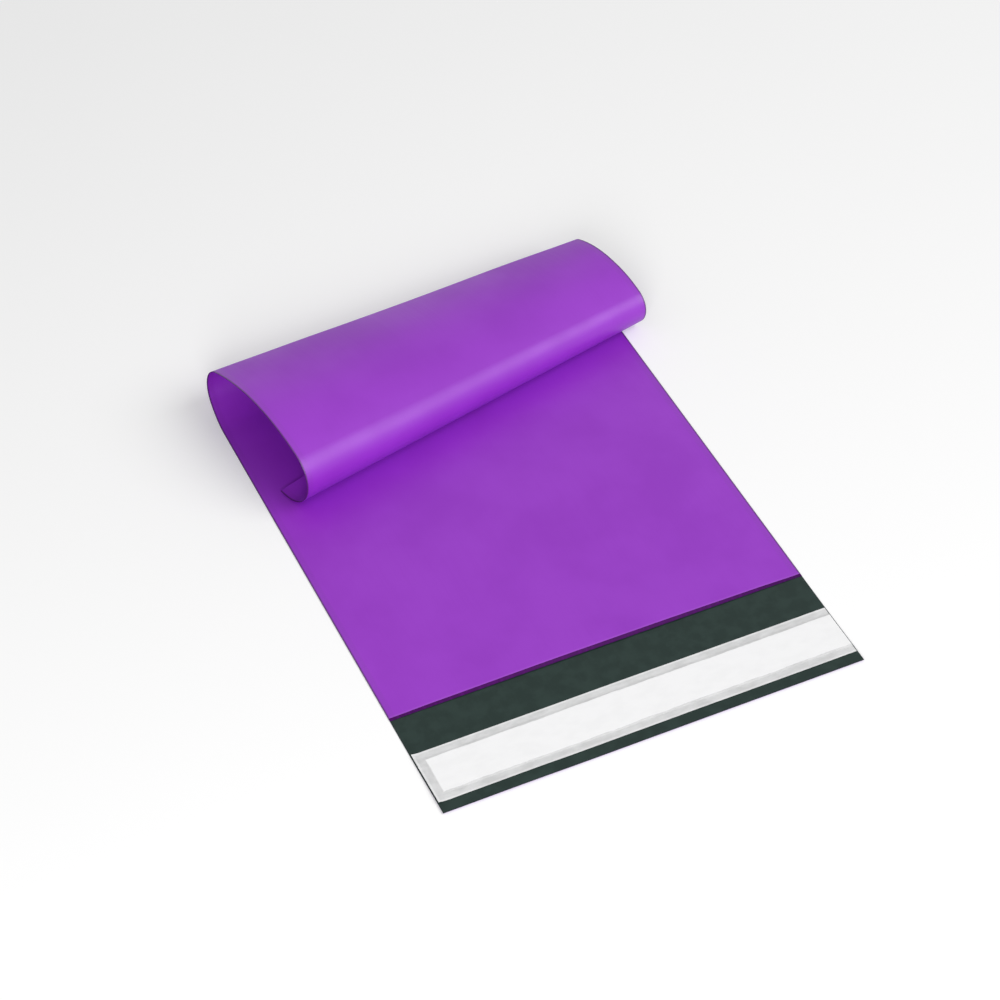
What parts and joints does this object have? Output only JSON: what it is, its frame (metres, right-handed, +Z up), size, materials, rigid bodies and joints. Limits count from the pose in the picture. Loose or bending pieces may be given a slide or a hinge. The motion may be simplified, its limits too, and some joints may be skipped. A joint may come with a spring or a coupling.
{
  "type": "poly mailer bag",
  "caption": "Flat plastic shipping bag with an open lip, an adhesive closing strip under its release liner, and its closed end curled up and over towards the mouth.",
  "frame": {"origin": "middle of the bounding box's base, on the surface that the bag lies on", "axes": "+Y from the free end of the lip towards the curled closed end, +X across the bag to the right as the mouth is faced, +Z up"},
  "size_m": [0.1796, 0.2464, 0.0286],
  "materials": {
    "film": "satin",
    "adhesive": "satin",
    "liner": "satin"
  },
  "bodies": {
    "root": {"bag_film": "film", "adhesive_strip": "adhesive", "release_liner": "liner"}
  },
  "joints": []
}
